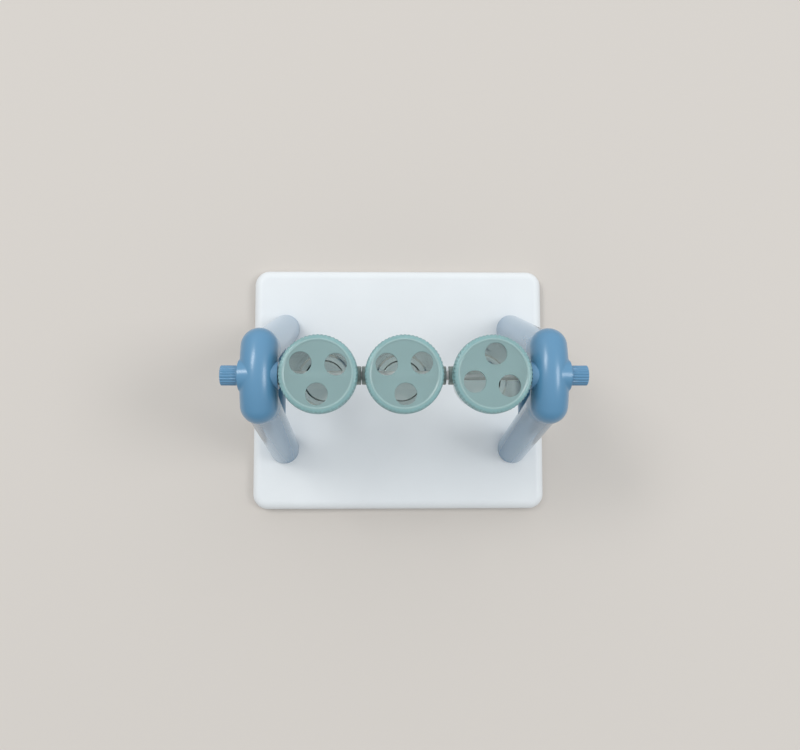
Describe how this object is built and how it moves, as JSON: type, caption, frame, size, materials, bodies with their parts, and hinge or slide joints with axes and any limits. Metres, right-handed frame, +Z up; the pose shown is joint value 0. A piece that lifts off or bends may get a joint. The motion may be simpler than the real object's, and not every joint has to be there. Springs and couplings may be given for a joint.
{
  "type": "dog puzzle feeder",
  "caption": "Tabletop treat puzzle for dogs: clear beakers with pierced lids swing on a rod between A-shaped side frames on a wide base plate.",
  "frame": {"origin": "floor under the middle of the base plate", "axes": "+X along the rod to the right, -Y to the front, +Z up"},
  "size_m": [0.331, 0.2734, 0.2387],
  "materials": {
    "white_plastic": "satin moulded, off-white",
    "blue_plastic": "satin moulded, mid blue",
    "teal_plastic": "slightly translucent, pale turquoise",
    "clear_plastic": "clear moulded plastic",
    "rod_plastic": "smooth light grey",
    "foot_rubber": "matt soft rubber",
    "screw_steel": "zinc-plated steel"
  },
  "bodies": {
    "stand": {"base_plate": "white_plastic", "rubber_foot_right_back": "foot_rubber", "rubber_foot_right_front": "foot_rubber", "rubber_foot_left_back": "foot_rubber", "rubber_foot_left_front": "foot_rubber", "leg_right_back": "blue_plastic", "leg_right_front": "blue_plastic", "leg_left_back": "blue_plastic", "leg_left_front": "blue_plastic", "leg_screws": "screw_steel", "crown_left": "blue_plastic", "crown_right": "blue_plastic", "cross_bar_left": "blue_plastic", "cross_bar_right": "blue_plastic"},
    "axle": {"axle_rod": "rod_plastic", "knob_left": "blue_plastic", "knob_right": "blue_plastic"},
    "beaker_left": {"cup_left": "clear_plastic"},
    "cap_left": {"lid_left": "teal_plastic"},
    "beaker_middle": {"cup_middle": "clear_plastic"},
    "cap_middle": {"lid_middle": "teal_plastic"},
    "beaker_right": {"cup_right": "clear_plastic"},
    "cap_right": {"lid_right": "teal_plastic"}
  },
  "joints": [
    {"name": "axle_turn", "type": "hinge", "parent": "stand", "child": "axle", "pos_m": [0, 0, 0.2157], "axis": [1, 0, 0], "continuous": true},
    {"name": "beaker_left_turn", "type": "hinge", "parent": "stand", "child": "beaker_left", "pos_m": [-0.0759, 0, 0.2157], "axis": [1, 0, 0], "continuous": true},
    {"name": "lid_left_twist", "type": "hinge", "parent": "beaker_left", "child": "cap_left", "pos_m": [-0.0759, 0, 0.2269], "axis": [0, 0, 1], "range_deg": [0, 60]},
    {"name": "beaker_middle_turn", "type": "hinge", "parent": "stand", "child": "beaker_middle", "pos_m": [-0.0008, 0, 0.2157], "axis": [1, 0, 0], "continuous": true},
    {"name": "lid_middle_twist", "type": "hinge", "parent": "beaker_middle", "child": "cap_middle", "pos_m": [-0.0008, 0, 0.2269], "axis": [0, 0, 1], "range_deg": [0, 60]},
    {"name": "beaker_right_turn", "type": "hinge", "parent": "stand", "child": "beaker_right", "pos_m": [0.0759, 0, 0.2157], "axis": [1, 0, 0], "continuous": true},
    {"name": "lid_right_twist", "type": "hinge", "parent": "beaker_right", "child": "cap_right", "pos_m": [0.0759, 0, 0.2269], "axis": [0, 0, 1], "range_deg": [0, 60]}
  ]
}
